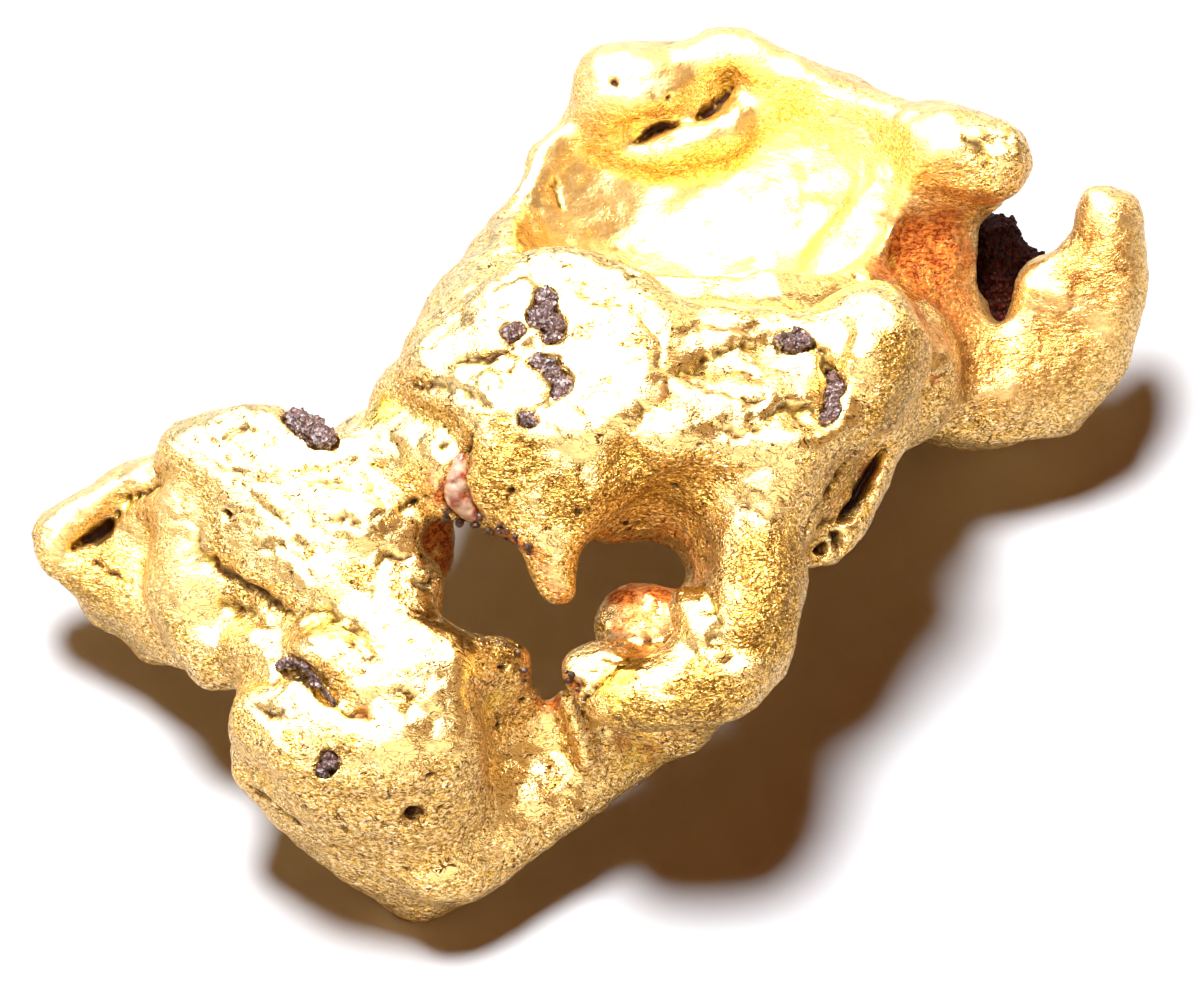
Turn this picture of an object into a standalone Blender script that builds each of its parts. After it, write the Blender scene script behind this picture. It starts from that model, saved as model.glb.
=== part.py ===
"""A natural gold nugget about 30 mm long, with chips of ironstone lodged in it.

The nugget is one solid. It is built up like clay, from overlapping lumps and arms that are fused,
hollowed, smoothed and pressed. All of that happens in the frame of its face, in millimetres:
a runs to the right, b runs up the face and c comes out of it. The face leans back by
FACE_LEAN, and turn_to_rest() puts the finished shape down on the surface that it rests on.
"""

import math

import bmesh
import bpy
import numpy as np
from mathutils import Matrix, Vector, noise

MM = 0.001

# How the nugget lies
FACE_LEAN = math.radians(30)  # the face's up direction rises this far above the horizontal
FLOOR_DEPTH = 9.0  # the surface it rests on, below the middle of the face
MIDDLE_X = -0.25  # middle of the nugget's footprint, from the middle of the face
MIDDLE_Y = 3.5

# How the gold is worked
ARM_STEP = 0.35  # spacing of the balls that make an arm, as a share of their radius
FUSE_VOXEL = 0.25
FINE_VOXEL = 0.2
FUSE_SMOOTHING = 6
FINE_SMOOTHING = 3
SWELL = 0.2
SWELL_WIDTH = 1.7
SEAM_REACH = 2.0  # how far in front of or behind its path a seam still marks the skin
GOLD_TRIANGLES = 7000
HOLE_NEAR = 4.0  # the cutter of the hole runs from in front of the face to behind the nugget
HOLE_FAR = -12.0
OUTSIDE = 20.0  # in front of everything, where the search for the skin starts
TABLE_SIDE = 60.0

# How the stones sit
STONE_GAP = 0.1  # clearance between a stone and its pocket
STONE_SINK = 0.6  # how far a stone's middle lies under the skin, as a share of its radius
STONE_VOXEL = 0.1
STONE_SWELL = 0.05
STONE_SWELL_WIDTH = 0.3
STONE_TRIANGLES = 110

# The outline (a, b) of the heart-shaped hole that goes through the middle
HOLE = (
    (-4.9, -0.7), (-4.9, -1.5), (-4.3, -1.9), (-3.9, -3.3), (-2.2, -3.6), (-1.75, -5.2),
    (-1.45, -5.8), (-1.2, -5.2), (-1.1, -4.0), (0.1, -3.9), (1.8, -3.9), (2.1, -2.1),
    (1.7, -1.4), (0.8, -1.1), (-0.5, -1.2), (-1.9, -1.2), (-3.2, -0.9), (-4.2, -0.7),
)

# The seams between the lobes: width, depth, then a path of points (a, b, c)
SEAMS = (
    (0.40, 0.45, (-14.3, -1.3, -4.2), (-13.5, -0.9, -4.2), (-13.1, -0.1, -4.0), (-12.0, 0.6, -3.6)),
    (0.45, 0.35, (-11.0, 0.2, -1.8), (-10.8, -1.6, -1.6), (-9.9, -2.8, -1.0), (-8.6, -3.1, 0.0)),
    (0.40, 0.25, (-8.6, -3.1, 0.0), (-7.0, -3.1, 0.6), (-5.9, -3.9, 0.9)),
    (0.40, 0.40, (-9.6, -4.8, -0.6), (-8.3, -4.5, 0.4), (-7.4, -5.1, 0.9), (-6.4, -5.9, 1.2)),
    (0.35, 0.30, (-5.6, 2.6, -0.8), (-4.2, 1.8, 0.4), (-3.6, 0.9, 1.2)),
    (0.35, 0.30, (1.5, 2.4, 2.6), (1.8, 3.4, 2.2), (3.0, 3.6, 1.9), (4.6, 4.3, 1.2)),
    (0.35, 0.35, (6.5, 4.6, 0.6), (6.3, 3.4, 1.2), (6.1, 2.2, 1.6), (4.8, 2.3, 2.0)),
    (0.30, 0.40, (7.7, 1.4, -0.6), (7.2, 0.4, -0.6), (6.5, -0.6, -0.2), (5.9, -1.4, 0.2)),
    (0.35, 0.60, (0.9, 9.7, -7.0), (2.0, 10.3, -6.6), (2.7, 10.5, -7.0), (3.6, 11.3, -7.4)),
    (0.45, 0.35, (-9.9, -7.2, -0.4), (-7.2, -8.4, 1.2), (-5.0, -8.5, 1.2)),
    (0.35, 0.30, (2.3, -4.2, 2.0), (3.4, -4.2, 2.4), (4.6, -3.9, 1.8)),
)

# The chips of ironstone, as balls (a, b, radius) on the skin or (a, b, c, radius) where they hang free
IRONSTONES = {
    "crown_ironstone_1": (
        (-1.5, 5.6, 0.14), (-1.45, 5.25, 0.22), (-1.8, 4.75, 0.18), (-1.4, 4.85, 0.27),
        (-1.2, 4.45, 0.2), (-1.4, 4.25, 0.14),
    ),
    "crown_ironstone_2": ((-2.5, 4.5, 0.14), (-2.3, 4.45, 0.2), (-2.15, 4.65, 0.13)),
    "crown_ironstone_3": (
        (-1.75, 3.65, 0.15), (-1.45, 3.6, 0.22), (-1.25, 3.3, 0.17), (-1.0, 3.15, 0.2),
        (-1.15, 2.8, 0.15),
    ),
    "crown_ironstone_4": ((-2.1, 2.25, 0.13), (-1.95, 2.1, 0.17), (-1.75, 2.05, 0.13)),
    "brow_ironstone": ((4.9, 4.15, 0.14), (5.2, 4.2, 0.22), (5.35, 4.4, 0.14), (5.6, 4.2, 0.15)),
    "cheek_ironstone": (
        (6.3, 3.3, 0.13), (6.45, 3.0, 0.19), (6.2, 2.7, 0.14), (6.25, 2.4, 0.17), (6.1, 2.15, 0.13),
    ),
    "left_ironstone": ((-8.3, 2.1, 0.26), (-7.9, 1.9, 0.38), (-7.45, 1.6, 0.3)),
    "seam_ironstone": (
        (-8.75, -4.5, 0.16), (-8.3, -4.45, 0.2), (-7.9, -4.6, 0.17), (-7.55, -5.1, 0.16),
        (-7.15, -5.5, 0.14),
    ),
    "front_ironstone": ((-7.3, -7.05, 0.2), (-7.45, -7.35, 0.16)),
    "fork_ironstone": (
        (10.9, 7.1, -9.6, 0.8), (10.9, 6.0, -9.4, 0.8), (10.9, 5.0, -9.4, 0.75),
        (11.7, 6.4, -9.4, 0.6),
    ),
}
QUARTZ = ((-3.75, 1.1, 1.2, 0.2), (-3.8, 0.6, 1.1, 0.34), (-3.85, 0.1, 0.9, 0.42), (-3.5, -0.4, 0.7, 0.3))


class Clay:
    """Overlapping closed lumps, gathered in one bmesh before they are fused."""

    def __init__(self):
        self.bm = bmesh.new()

    def lump(self, centre, radii):
        """An ellipsoid."""
        place = Matrix.Translation(centre) @ Matrix.Diagonal((*radii, 1.0))
        bmesh.ops.create_icosphere(self.bm, subdivisions=3, radius=1.0, matrix=place)

    def arm(self, *stations):
        """A tube with round ends along a smooth curve through stations (a, b, c, radius)."""
        for a, b, c, radius in smooth_path(stations):
            place = Matrix.Translation((a, b, c))
            bmesh.ops.create_icosphere(self.bm, subdivisions=2, radius=radius, matrix=place)

    def block(self, *corners):
        """The rounded solid that is stretched over balls (a, b, c, radius)."""
        hull = bmesh.new()
        for a, b, c, radius in corners:
            place = Matrix.Translation((a, b, c))
            bmesh.ops.create_icosphere(hull, subdivisions=2, radius=radius, matrix=place)
        bmesh.ops.delete(hull, geom=hull.edges[:], context="EDGES_FACES")
        bmesh.ops.convex_hull(hull, input=hull.verts[:])
        inside = [vert for vert in hull.verts if not vert.link_faces]
        bmesh.ops.delete(hull, geom=inside, context="VERTS")
        mesh = bpy.data.meshes.new("block")
        hull.to_mesh(mesh)
        hull.free()
        self.bm.from_mesh(mesh)
        bpy.data.meshes.remove(mesh)

    def prism(self, outline, near, far):
        """An outline in the plane of the face, extruded from the depth near to the depth far."""
        base = self.bm.faces.new([self.bm.verts.new((a, b, far)) for a, b in outline])
        walls = bmesh.ops.extrude_face_region(self.bm, geom=[base])
        risen = [item for item in walls["geom"] if isinstance(item, bmesh.types.BMVert)]
        bmesh.ops.translate(self.bm, verts=risen, vec=(0, 0, near - far))

    def made(self, name):
        """The lumps as a new object, with their faces pointing out."""
        bmesh.ops.recalc_face_normals(self.bm, faces=self.bm.faces[:])
        mesh = bpy.data.meshes.new(name)
        self.bm.to_mesh(mesh)
        self.bm.free()
        obj = bpy.data.objects.new(name, mesh)
        bpy.context.collection.objects.link(obj)
        return obj


def smooth_path(stations):
    """Points of a Catmull-Rom curve through the stations, ARM_STEP times the radius apart."""
    points = [np.array(station, float) for station in stations]
    ends = [2 * points[0] - points[1], *points, 2 * points[-1] - points[-2]]
    path = []
    for before, start, end, after in zip(ends, ends[1:], ends[2:], ends[3:]):
        length = np.linalg.norm((end - start)[:3])
        count = max(2, math.ceil(length / (ARM_STEP * min(start[3], end[3]))))
        for t in np.arange(count) / count:
            path.append(
                0.5 * (2 * start + (end - before) * t)
                + 0.5 * (2 * before - 5 * start + 4 * end - after) * t**2
                + 0.5 * (3 * start - before - 3 * end + after) * t**3
            )
    return [*path, points[-1]]


def crown(gold):
    """The broad, nearly level top of the nugget, which overhangs its middle."""
    gold.block(
        (-3.1, 4.9, -0.6, 1.0), (-1.2, 6.0, -0.9, 1.05), (1.4, 5.0, -0.2, 1.0),
        (1.6, 3.0, 1.3, 1.1), (-0.6, 1.5, 1.7, 1.1), (-3.0, 2.0, 1.0, 1.1),
        (-4.6, 3.2, -0.8, 1.0), (-1.0, 3.5, -3.0, 1.5),
    )
    gold.block(
        (1.2, 4.8, -0.2, 0.9), (5.4, 4.2, -0.2, 0.9), (7.4, 3.6, -0.7, 1.2),
        (7.0, 2.2, 0.1, 1.1), (4.6, 1.4, 1.3, 1.1),
        (1.8, 1.8, 1.6, 1.1), (5.0, 3.5, -2.8, 1.5), (7.2, 3.0, -2.5, 1.2),
    )
    gold.lump((7.3, 4.0, -0.6), (1.75, 1.9, 2.1))
    gold.lump((3.0, 4.5, -5.0), (5.0, 3.0, 3.0))
    gold.lump((7.0, 3.5, -5.5), (3.0, 2.5, 2.5))
    gold.lump((-4.9, 2.6, -1.8), (1.4, 1.4, 1.4))


def left_body(gold):
    """The left half, from the hole's left edge to the root of the left tip."""
    gold.block(
        (-10.9, 1.1, -2.6, 1.25), (-9.2, 1.7, -2.0, 1.15), (-7.4, 0.7, -1.2, 1.1),
        (-6.2, -1.0, -0.6, 1.2), (-7.5, -2.4, -0.8, 1.2), (-10.2, -1.6, -2.2, 1.2),
        (-11.4, -0.4, -3.0, 1.1), (-8.5, 0.0, -4.6, 1.6), (-10.0, -1.5, -4.5, 1.3),
    )
    gold.block(
        (-7.6, 0.4, -1.4, 1.2), (-5.6, 0.6, -1.6, 1.2), (-5.2, -1.6, -0.6, 0.9),
        (-4.9, -2.8, -0.4, 0.8), (-6.2, -4.0, -0.2, 1.2), (-7.8, -3.0, -1.0, 1.2),
        (-6.5, -1.5, -4.2, 1.6), (-6.2, -4.0, -3.6, 1.4),
    )
    gold.block((-9.0, -3.9, -1.6, 1.2), (-7.0, -4.4, -0.8, 1.2), (-8.4, -5.4, -1.0, 1.2))
    gold.lump((-5.6, 1.4, -1.8), (1.3, 1.3, 1.3))
    gold.block(
        (-5.4, 1.0, -1.2, 1.1), (-4.4, 1.2, -0.4, 1.1), (-3.6, 1.2, 0.2, 1.0),
        (-4.6, 2.6, -1.0, 1.2),
    )
    gold.lump((-4.1, 0.3, 0.0), (0.9, 0.8, 1.0))
    gold.lump((-4.9, -0.6, -4.0), (0.9, 1.2, 1.5))
    gold.arm((-11.2, -1.8, -3.0, 1.3), (-10.9, -3.2, -3.0, 1.2), (-10.3, -4.3, -2.9, 1.0))


def left_tip(gold):
    """The tip at the far left: two rolls that close on a slit."""
    gold.arm((-12.2, 0.3, -4.6, 1.1), (-13.6, -0.3, -4.9, 0.95), (-14.8, -1.1, -5.1, 0.85))
    gold.arm(
        (-14.8, -1.3, -5.1, 0.9),
        (-13.5, -2.2, -5.2, 1.0),
        (-12.0, -3.0, -5.0, 1.2),
        (-10.8, -3.8, -4.6, 1.2),
    )
    gold.lump((-12.6, -1.2, -5.6), (1.9, 1.6, 1.4))
    gold.lump((-13.4, -2.9, -6.3), (0.9, 0.8, 0.9))
    gold.lump((-11.8, -3.9, -6.2), (1.1, 0.9, 1.3))


def front_lobe(gold):
    """The lobe at the front left: a level top, a steep front and a foot."""
    gold.block(
        (-9.2, -5.8, -0.4, 1.1), (-8.0, -7.2, 0.3, 1.1), (-5.6, -7.6, 0.9, 1.1),
        (-4.2, -6.4, 0.9, 1.0), (-4.4, -4.2, 0.6, 1.0), (-7.0, -4.4, 0.6, 1.2),
        (-8.9, -7.3, -1.4, 1.15), (-5.0, -10.5, -3.5, 1.1), (-7.6, -8.2, -2.6, 1.3),
        (-3.4, -9.8, -2.8, 1.0), (-4.6, -7.5, -5.0, 1.3), (-7.5, -6.0, -4.2, 1.3),
    )


def scoop(gold):
    """The web between the front lobe and the hook, with the rim that carries it."""
    gold.arm(
        (-4.2, -9.9, -1.8, 1.3),
        (-2.4, -9.0, -2.2, 1.1),
        (-0.4, -7.7, -2.6, 0.95),
        (1.4, -6.6, -2.7, 0.85),
        (2.8, -5.7, -1.6, 0.85),
        (3.5, -4.8, 0.0, 0.9),
    )
    gold.block(
        (-3.0, -5.6, -1.2, 0.9), (-1.6, -6.0, -1.6, 0.7), (0.2, -6.0, -1.8, 0.7),
        (-3.0, -8.8, -2.4, 1.0), (-0.6, -7.8, -2.6, 0.8), (1.2, -6.7, -2.8, 0.7),
        (-3.2, -7.2, -3.4, 1.0),
    )


def basin(gold):
    """The block at the back that holds the dish, and its flank up to the crown."""
    gold.block(
        (-0.6, 8.6, -9.4, 1.5), (0.9, 10.9, -8.9, 1.5), (3.6, 11.7, -9.4, 1.2),
        (7.5, 10.2, -8.4, 1.2), (7.6, 7.0, -9.0, 1.4), (0.0, 5.5, -8.6, 1.8),
        (3.0, 4.5, -8.8, 2.0), (1.5, 8.0, -12.2, 1.4), (6.0, 7.5, -11.8, 1.6),
        (3.0, 5.0, -12.8, 1.5),
    )
    gold.arm((-3.2, 3.5, -4.5, 2.4), (-1.9, 6.0, -7.0, 2.0), (-0.6, 7.8, -8.0, 1.7))
    gold.lump((-0.5, 9.0, -8.0), (1.6, 1.3, 1.8))
    gold.lump((3.6, 12.0, -8.4), (1.2, 1.0, 1.2))
    gold.arm(
        (2.0, 11.6, -8.2, 1.0),
        (4.2, 11.3, -8.4, 1.2),
        (6.4, 10.6, -8.0, 1.1),
        (8.2, 9.8, -7.0, 1.2),
        (9.6, 9.6, -6.2, 1.3),
        (10.7, 9.2, -6.0, 1.25),
    )
    gold.arm((8.0, 9.3, -6.5, 1.2), (7.2, 7.6, -6.3, 1.0), (6.6, 5.8, -5.5, 1.0))
    gold.lump((6.2, 6.2, -7.6), (1.7, 1.7, 1.7))


def fork(gold):
    """The forked end at the right, with its foot and the web that joins it to the rim."""
    gold.block(
        (9.6, 2.6, -7.8, 1.4), (10.4, 2.8, -10.6, 1.6), (12.4, 3.2, -8.4, 1.5),
        (13.2, 4.2, -8.0, 1.5), (12.6, 4.2, -7.6, 1.2), (9.2, 3.8, -7.6, 1.2),
        (11.0, 4.0, -10.4, 1.4),
    )
    gold.arm((13.3, 4.6, -7.8, 1.5), (13.85, 6.2, -7.4, 1.25), (13.95, 7.8, -7.1, 1.05))
    gold.block(
        (12.0, 5.0, -7.3, 0.75), (12.0, 5.9, -7.1, 0.7), (13.4, 6.4, -7.3, 1.0),
        (13.2, 4.6, -7.5, 1.2),
    )
    gold.block(
        (8.2, 5.4, -7.6, 1.0), (8.6, 7.6, -7.8, 1.0), (9.7, 7.5, -8.0, 0.8),
        (9.75, 5.0, -7.9, 0.8), (8.2, 7.0, -9.6, 1.2), (9.4, 3.6, -7.4, 1.1),
    )
    gold.block(
        (8.8, 8.4, -7.2, 1.0), (10.6, 8.6, -6.9, 0.9), (10.8, 8.3, -7.8, 0.6),
        (9.4, 8.0, -8.4, 0.8), (8.6, 8.0, -9.0, 1.0),
    )


def underside(gold):
    """The knobs of the back and of the underside."""
    gold.lump((4.6, 10.6, -11.2), (1.6, 1.3, 1.2))
    gold.lump((0.1, 9.6, -11.0), (1.3, 1.2, 1.4))
    gold.lump((7.6, 8.6, -10.6), (1.3, 1.5, 1.2))
    gold.lump((-2.2, 5.0, -8.6), (1.4, 1.7, 1.3))
    gold.lump((0.6, 3.4, -7.6), (1.8, 1.3, 1.2))
    gold.lump((6.4, 2.0, -7.2), (1.5, 1.2, 1.4))
    gold.lump((-8.4, -1.6, -6.2), (1.6, 1.3, 1.0))
    gold.lump((-6.2, 1.2, -4.6), (1.3, 1.5, 1.1))
    gold.lump((-6.4, -4.8, -5.4), (1.5, 1.3, 1.0))
    gold.lump((1.8, 5.2, -13.6), (1.6, 1.5, 0.9))


def arch(gold):
    """The thick skin over the hole's right lobe, which the funnel is cut into."""
    gold.block(
        (-0.6, 0.2, 0.4, 1.0), (1.2, 0.6, 0.2, 1.2), (3.4, 0.2, 0.0, 1.2), (3.6, -2.4, 0.0, 1.1),
        (2.9, -3.0, -0.8, 0.8), (0.2, -0.4, -1.4, 0.8), (1.4, -0.2, -1.6, 0.8),
        (2.9, -1.0, -1.6, 0.8), (2.9, -2.4, -1.4, 0.7),
    )


def right_flap(gold):
    """The fold of skin that hangs from the crown's right end."""
    gold.block(
        (8.0, 2.6, -1.8, 1.0), (7.2, 1.0, -1.6, 0.9), (6.3, -0.7, -1.2, 0.9),
        (5.6, -1.3, -0.6, 0.8), (5.6, 1.5, -0.2, 1.2), (5.0, -0.5, 0.0, 1.0),
    )


def dish(clay):
    """The shallow dish in the block at the back, which is worn as smooth as the rest."""
    clay.lump((2.8, 8.9, -5.2), (5.8, 4.0, 3.4))


def hollows(clay):
    """What is taken out of the smooth mass: the way through it, the arch's funnel, scoop and slot."""
    clay.prism(HOLE, HOLE_NEAR, HOLE_FAR)
    clay.arm((1.1, -1.9, 4.2, 3.5), (1.15, -1.95, 0.6, 1.75), (1.15, -2.1, -1.6, 1.1))
    clay.lump((-1.5, -7.0, -0.5), (1.7, 1.7, 1.2))
    clay.block(
        (10.95, 4.95, -5.5, 0.28), (10.95, 5.8, -5.5, 0.28), (10.95, 4.95, -9.0, 0.28),
        (10.95, 5.8, -9.0, 0.28),
    )


def nose(gold):
    """The nose under the crown, its tooth, and the arch to the right of it."""
    gold.block(
        (-2.9, 0.9, 1.2, 0.9), (-0.4, 0.9, 1.8, 0.9), (0.8, 0.9, 1.2, 0.8),
        (-2.5, 0.0, 0.9, 0.95), (-0.6, -0.5, 0.9, 0.95), (-1.4, -0.6, -0.4, 0.8),
    )
    gold.arm((-1.2, -0.4, 1.0, 1.1), (-1.2, -1.5, 1.0, 0.8), (-1.1, -2.4, 1.0, 0.55))


def hook(gold):
    """The arm that comes down the right side and curls under the hole."""
    gold.arm(
        (4.6, 1.2, 0.4, 1.9),
        (4.4, -0.8, 0.6, 1.5),
        (4.2, -2.6, 0.9, 1.45),
        (3.7, -4.2, 1.1, 1.45),
        (2.3, -5.1, 1.3, 1.25),
        (0.6, -5.4, 1.1, 0.95),
        (-0.4, -5.0, 0.8, 0.65),
    )
    gold.block(
        (-0.7, -4.5, 0.6, 0.4), (0.2, -4.3, 0.8, 0.45), (0.5, -5.2, 1.1, 0.7), (-0.4, -5.1, 0.8, 0.5),
    )
    gold.arm((2.45, -2.7, 0.8, 0.55), (2.6, -3.7, 1.5, 0.6), (2.75, -4.7, 2.0, 0.5))
    gold.lump((0.6, -4.6, 0.0), (1.7, 0.8, 0.8))
    gold.lump((1.15, -3.6, -1.3), (1.45, 1.4, 1.2))


def slot_edges(gold):
    """The edges of the web and of the prong, which leave a narrow slot over the ironstone."""
    gold.block(
        (10.1, 7.4, -7.8, 0.45), (10.15, 5.4, -7.7, 0.45), (9.3, 5.2, -7.8, 0.7), (9.3, 7.4, -7.9, 0.7),
    )
    gold.block(
        (11.8, 4.8, -7.3, 0.45), (11.8, 5.9, -7.2, 0.45), (12.8, 6.4, -7.3, 0.6), (12.8, 4.8, -7.4, 0.7),
    )


def small_forms(gold):
    """Knobs and crusts on the rims, the lip and the ridge of the dish, and the ridge in the scoop."""
    gold.lump((0.8, 11.1, -8.0), (1.7, 1.5, 1.6))
    gold.lump((1.8, 10.2, -8.3), (2.6, 1.4, 1.2))
    gold.arm((8.4, 8.7, -7.2, 0.8), (7.2, 7.7, -7.2, 0.7), (6.4, 6.3, -6.8, 0.7))
    gold.lump((-2.6, -4.5, -0.4), (0.9, 0.9, 1.0))
    gold.lump((-3.6, -4.6, -0.2), (1.0, 1.0, 1.2))
    gold.arm((-0.9, -5.4, -0.6, 0.35), (-0.6, -6.3, -0.9, 0.35), (-0.35, -7.1, -1.2, 0.35))
    gold.lump((-4.75, -1.1, -4.5), (0.95, 1.4, 1.7))
    gold.arm((-4.3, -0.2, 0.2, 0.5), (-3.4, -0.4, 0.5, 0.45), (-2.6, -0.7, 0.6, 0.45))


def fused(clay, name, voxel):
    """The clay's lumps as one closed skin."""
    obj = clay.made(name)
    remesh = obj.modifiers.new("fuse", "REMESH")
    remesh.mode = "VOXEL"
    remesh.voxel_size = voxel
    return baked(obj)


def baked(obj):
    """Applies the object's modifiers to its mesh."""
    bpy.context.view_layer.update()
    graph = bpy.context.evaluated_depsgraph_get()
    mesh = bpy.data.meshes.new_from_object(obj.evaluated_get(graph))
    obj.modifiers.clear()
    obj.data = mesh
    return obj


def smoothed(obj, times):
    smooth = obj.modifiers.new("smooth", "SMOOTH")
    smooth.factor = 0.5
    smooth.iterations = times
    return baked(obj)


def cut(obj, cutter):
    """Takes the cutter's shape out of the object and removes the cutter."""
    boolean = obj.modifiers.new("cut", "BOOLEAN")
    boolean.operation = "DIFFERENCE"
    boolean.object = cutter
    baked(obj)
    bpy.data.objects.remove(cutter)
    return obj


def swell(obj, height, width):
    """Gives the skin an irregular unevenness of this height and width."""
    normals = [vertex.normal.copy() for vertex in obj.data.vertices]
    for vertex, normal in zip(obj.data.vertices, normals):
        vertex.co += normal * height * noise.fractal(vertex.co / width, 1.0, 2.0, 2)


def carve_seams(obj):
    """Presses each seam into the skin, as deep at its middle as its depth says."""
    count = len(obj.data.vertices)
    points = np.empty(count * 3)
    normals = np.empty(count * 3)
    obj.data.vertices.foreach_get("co", points)
    obj.data.vertices.foreach_get("normal", normals)
    points = points.reshape(-1, 3)
    normals = normals.reshape(-1, 3)
    pressed = np.zeros(count)
    for width, depth, *path in SEAMS:
        for start, end in zip(path, path[1:]):
            start, run = np.array(start), np.array(end) - np.array(start)
            along = ((points - start)[:, :2] @ run[:2] / (run[:2] @ run[:2])).clip(0, 1)
            away = points - start - along[:, None] * run
            profile = np.exp(-((np.hypot(away[:, 0], away[:, 1]) / width) ** 2))
            profile *= (np.abs(away[:, 2]) < SEAM_REACH) & (normals[:, 2] > 0)
            pressed = np.maximum(pressed, depth * profile)
    obj.data.vertices.foreach_set("co", (points - normals * pressed[:, None]).reshape(-1))
    obj.data.update()


def shaped(name, regions, voxel, under=None):
    """The regions' clay as one closed skin, fused over an earlier shape where there is one."""
    clay = Clay()
    if under:
        clay.bm.from_mesh(under.data)
        bpy.data.objects.remove(under)
    for region in regions:
        region(clay)
    return fused(clay, name, voxel)


def thinned(obj, triangles):
    """Leaves about this many triangles of the object's quads."""
    decimate = obj.modifiers.new("thin", "DECIMATE")
    decimate.ratio = triangles / (2 * len(obj.data.polygons))
    return baked(obj)


def nugget_shape():
    mass = (
        crown, left_body, left_tip, front_lobe, scoop, basin, fork, underside, arch, right_flap,
    )
    nugget = shaped("mass", mass, FUSE_VOXEL)
    cut(nugget, shaped("dish", [dish], FUSE_VOXEL))
    smoothed(nugget, FUSE_SMOOTHING)
    cut(nugget, shaped("hollows", [hollows], FUSE_VOXEL))
    nugget = shaped("gold_nugget", (nose, hook, slot_edges, small_forms), FINE_VOXEL, under=nugget)
    smoothed(nugget, FINE_SMOOTHING)
    carve_seams(nugget)
    swell(nugget, SWELL, SWELL_WIDTH)
    return thinned(nugget, GOLD_TRIANGLES)


def on_skin(nugget, a, b):
    """The point of the nugget's skin that the face shows at (a, b)."""
    hit, point, _, _ = nugget.ray_cast(Vector((a, b, OUTSIDE)), Vector((0, 0, -1)))
    if not hit:
        raise ValueError(f"no skin at {a}, {b}")
    return point


def stone(nugget, name, balls):
    """A rough stone over balls (a, b, radius) bedded in the skin, or (a, b, c, radius) set free."""
    clay = Clay()
    stations = []
    for ball in balls:
        if len(ball) == 3:
            a, b, radius = ball
            ball = (a, b, on_skin(nugget, a, b).z - STONE_SINK * radius, radius)
        stations.append(ball)
    clay.arm(*stations)
    obj = fused(clay, name, STONE_VOXEL)
    swell(obj, STONE_SWELL, STONE_SWELL_WIDTH)
    return thinned(obj, STONE_TRIANGLES)


def bed(nugget, stones):
    """Sinks a pocket into the nugget for each stone, a little wider than the stone all round."""
    for obj in stones:
        pocket = obj.copy()
        pocket.data = obj.data.copy()
        bpy.context.collection.objects.link(pocket)
        widen = pocket.modifiers.new("widen", "DISPLACE")
        widen.strength = STONE_GAP
        widen.mid_level = 0.0
        cut(nugget, baked(pocket))


def turn_to_rest(obj):
    """From the face's frame in millimetres to the frame at rest in metres."""
    lie = Matrix.Translation((-MIDDLE_X, -MIDDLE_Y, FLOOR_DEPTH)) @ Matrix.Rotation(FACE_LEAN, 4, "X")
    obj.data.transform(Matrix.Scale(MM, 4) @ lie)
    obj.data.update()


def table():
    """The space under the surface that the nugget rests on, which wears its feet flat."""
    bm = bmesh.new()
    place = Matrix.Translation((0, 0, -TABLE_SIDE * MM / 2))
    bmesh.ops.create_cube(bm, size=TABLE_SIDE * MM, matrix=place)
    mesh = bpy.data.meshes.new("table")
    bm.to_mesh(mesh)
    bm.free()
    obj = bpy.data.objects.new("table", mesh)
    bpy.context.collection.objects.link(obj)
    return obj


def coloured(obj, name, colour, roughness, metallic):
    material = bpy.data.materials.new(name)
    material.use_nodes = True
    shader = material.node_tree.nodes["Principled BSDF"]
    shader.inputs["Base Color"].default_value = (*colour, 1.0)
    shader.inputs["Roughness"].default_value = roughness
    shader.inputs["Metallic"].default_value = metallic
    obj.data.materials.clear()
    obj.data.materials.append(material)


def main():
    for obj in list(bpy.data.objects):
        bpy.data.objects.remove(obj)
    nugget = nugget_shape()
    ironstones = [stone(nugget, name, balls) for name, balls in IRONSTONES.items()]
    quartz = stone(nugget, "quartz_sliver", QUARTZ)
    bed(nugget, [*ironstones, quartz])
    for obj in (nugget, *ironstones, quartz):
        turn_to_rest(obj)
    cut(nugget, table())
    coloured(nugget, "native_gold", (0.83, 0.55, 0.2), 0.35, 1.0)
    for obj in ironstones:
        coloured(obj, "ironstone", (0.09, 0.035, 0.025), 0.7, 0.0)
    coloured(quartz, "stained_quartz", (0.5, 0.2, 0.12), 0.25, 0.0)


main()
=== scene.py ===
"""A natural gold nugget with a heart-shaped hole, and the ironstone and quartz caught in it.

The gold is one skin. It starts from the frame's solid, which is made fine and soft, and is then
swollen, wrinkled, cracked and pitted. Marks on its points tell the material where it is worn,
rough or stained, and where it paints light and shade in: part of the worn plates' pale as a
highlight, a glow in the hollows, and shade in the creases, cracks and pits. All of this happens
in the frame of the nugget's face, in millimetres: a runs to the right, b runs up the face and c
comes out of it. laid_down() takes it to its place.
"""

import math

import bmesh
import bpy
import numpy as np
from mathutils import Matrix, Vector, noise


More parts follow.
